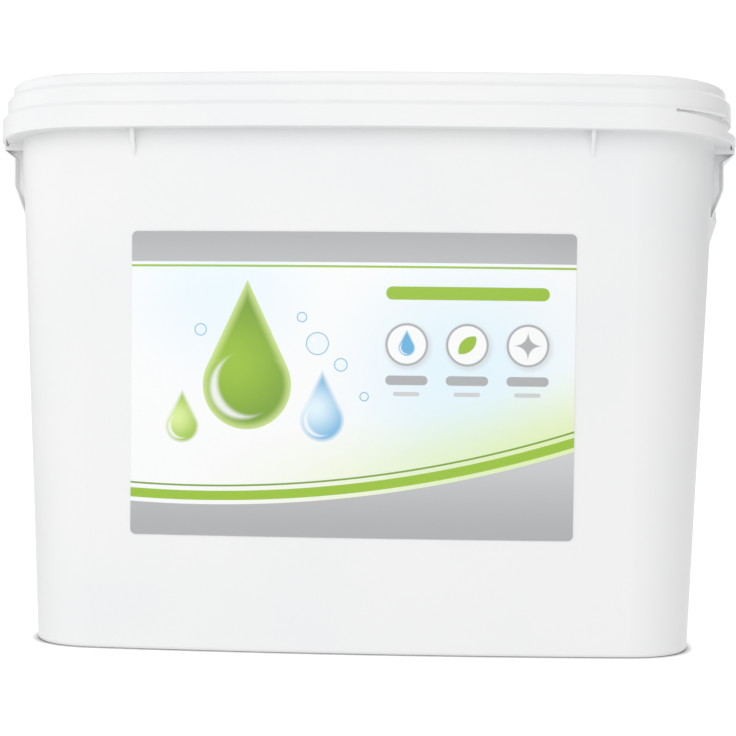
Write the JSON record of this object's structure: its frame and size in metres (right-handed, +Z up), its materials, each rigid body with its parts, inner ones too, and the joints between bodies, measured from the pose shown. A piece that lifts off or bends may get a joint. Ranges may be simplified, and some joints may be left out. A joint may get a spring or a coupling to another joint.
{
  "type": "detergent powder bucket",
  "caption": "Rectangular white plastic bucket for washing powder with a stepped press-down lid, a folding bail handle, a front label, two powder bags and a dosing scoop.",
  "frame": {"origin": "middle of the area that the bucket stands on", "axes": "+Z up, X along the long sides, the labelled front faces -Y"},
  "size_m": [0.3058, 0.2, 0.2215],
  "materials": {
    "bucket_plastic": "satin",
    "lid_plastic": "satin",
    "bail_plastic": "satin",
    "label_film": "semi-gloss",
    "bag_film": "satin",
    "scoop_plastic": "gloss"
  },
  "bodies": {
    "bucket": {"bucket_body": "bucket_plastic", "front_label": "label_film", "powder_bag_left": "bag_film", "powder_bag_right": "bag_film", "dosing_scoop": "scoop_plastic"},
    "lid": {"lid": "lid_plastic"},
    "bail": {"bail_handle": "bail_plastic"}
  },
  "joints": [
    {"name": "lid_lift", "type": "slide", "parent": "bucket", "child": "lid", "axis": [0, 0, 1], "range_m": [0, 0.06]},
    {"name": "bail_swing", "type": "hinge", "parent": "bucket", "child": "bail", "pos_m": [0, 0, 0.186], "axis": [1, 0, 0], "range_deg": [0, 233.6]}
  ]
}
